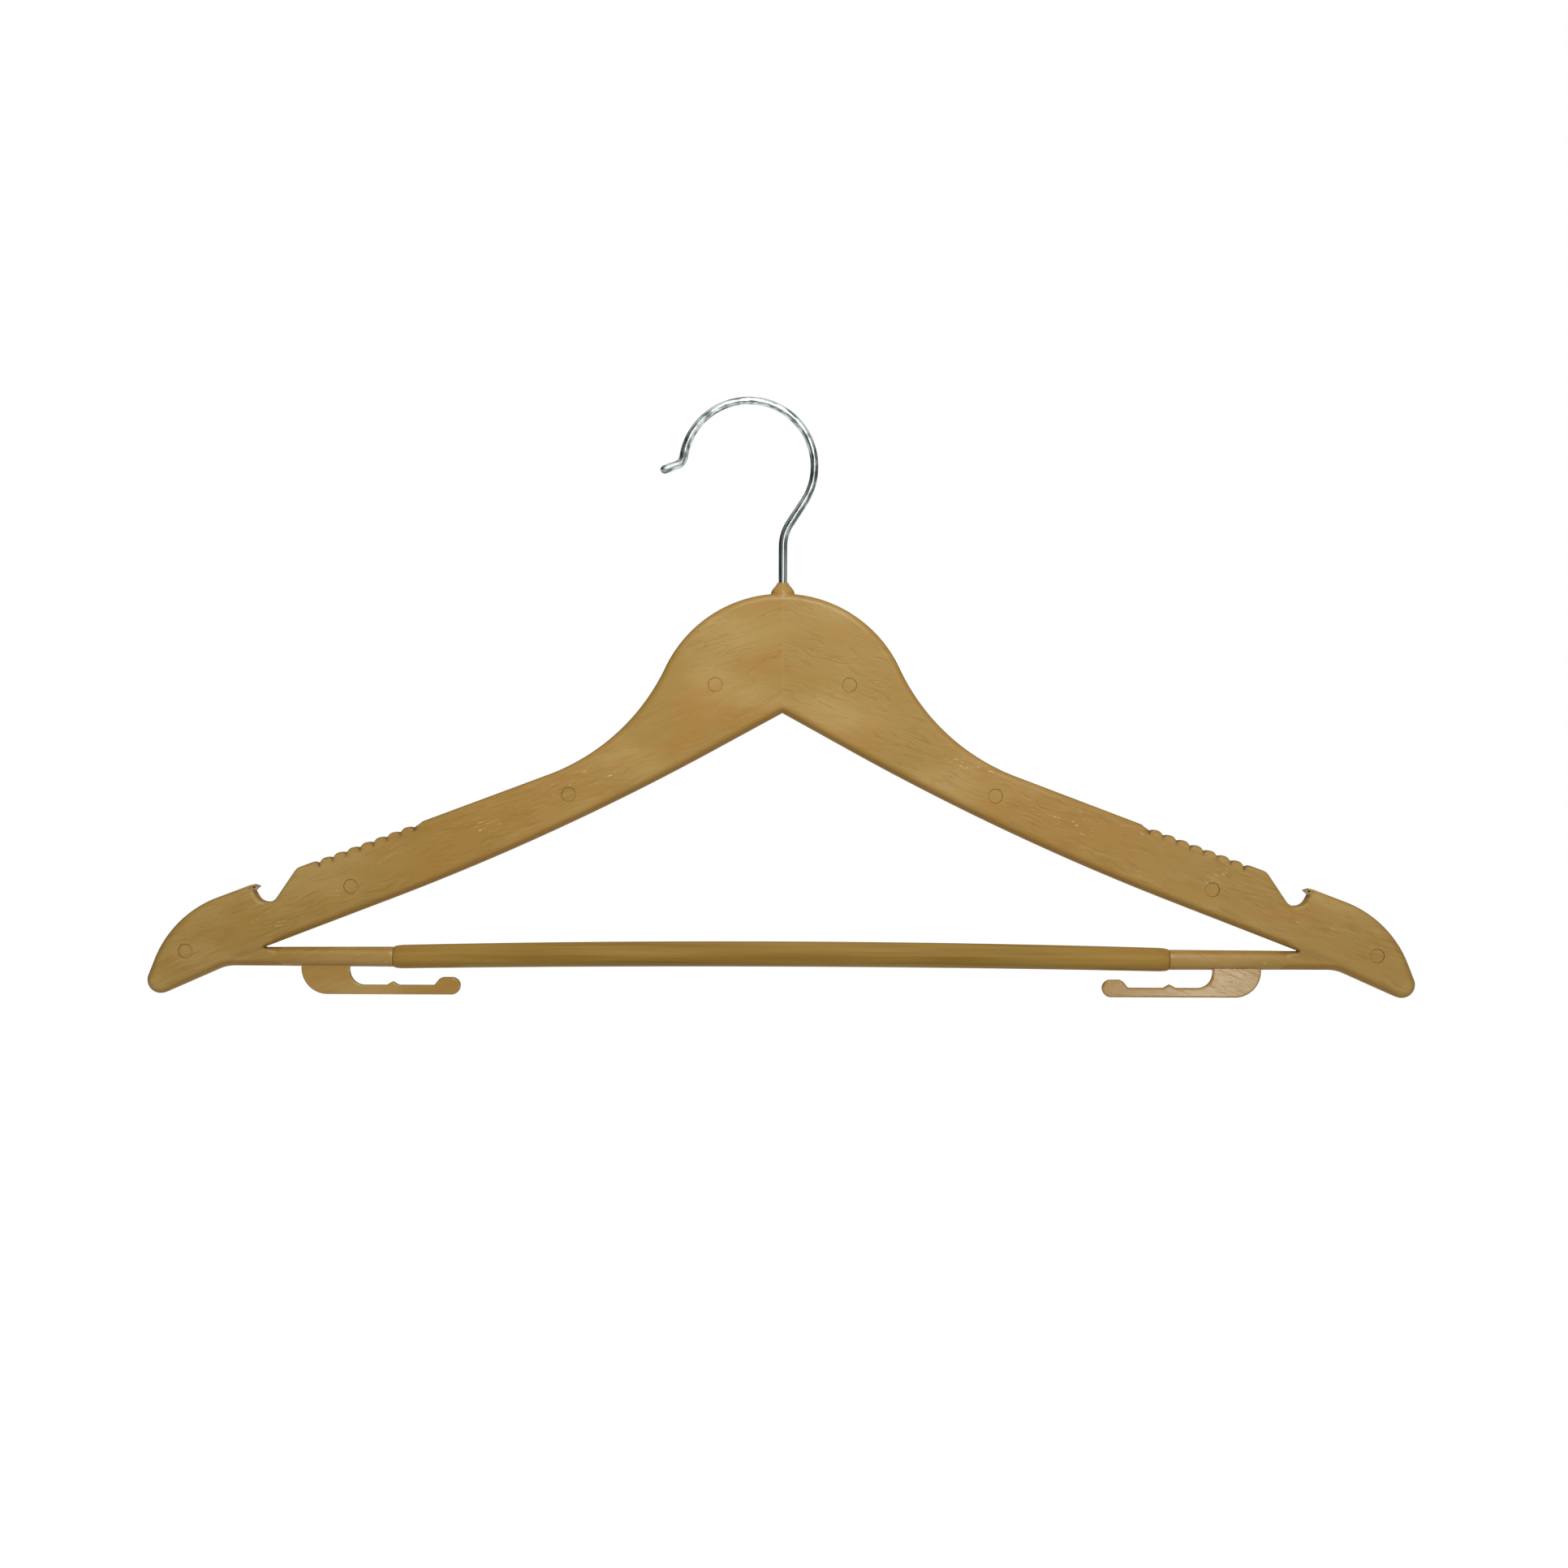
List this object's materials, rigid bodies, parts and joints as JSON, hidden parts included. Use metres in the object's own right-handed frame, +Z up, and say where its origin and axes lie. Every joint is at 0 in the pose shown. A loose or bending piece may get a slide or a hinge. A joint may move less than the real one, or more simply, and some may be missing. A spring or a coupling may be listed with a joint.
{
  "type": "clothes hanger",
  "caption": "Flat clothes hanger in wood-look moulded plastic: round head, strap notches, grip grooves, trouser bar, skirt hooks and a steel hook that swivels.",
  "frame": {"origin": "the hook's seat: inside of the loop at its highest point, where a rail touches", "axes": "+X along the hanger's length, +Y from the front face to the back, +Z up"},
  "size_m": [0.446, 0.01, 0.2114],
  "materials": {
    "shell_plastic": "moulded, wood-look, satin with a fine grain",
    "bar_plastic": "moulded, wood-look, half gloss",
    "peg_plastic": "moulded, satin",
    "hook_steel": "bright plated drawn wire",
    "bush_brass": "turned",
    "washer_steel": "stamped, zinc plated"
  },
  "bodies": {
    "hook": {"hook_wire": "hook_steel", "thrust_washer": "washer_steel"},
    "hanger": {"front_shell": "shell_plastic", "back_shell": "shell_plastic", "trouser_bar": "bar_plastic", "swivel_bush": "bush_brass", "shell_peg_left_1": "peg_plastic", "shell_peg_left_2": "peg_plastic", "shell_peg_left_3": "peg_plastic", "shell_peg_left_4": "peg_plastic", "shell_peg_right_1": "peg_plastic", "shell_peg_right_2": "peg_plastic", "shell_peg_right_3": "peg_plastic", "shell_peg_right_4": "peg_plastic"}
  },
  "joints": [
    {"name": "hook_swivel", "type": "hinge", "parent": "hook", "child": "hanger", "pos_m": [0.0122, 0, -0.0738], "axis": [0, 0, 1], "continuous": true}
  ]
}
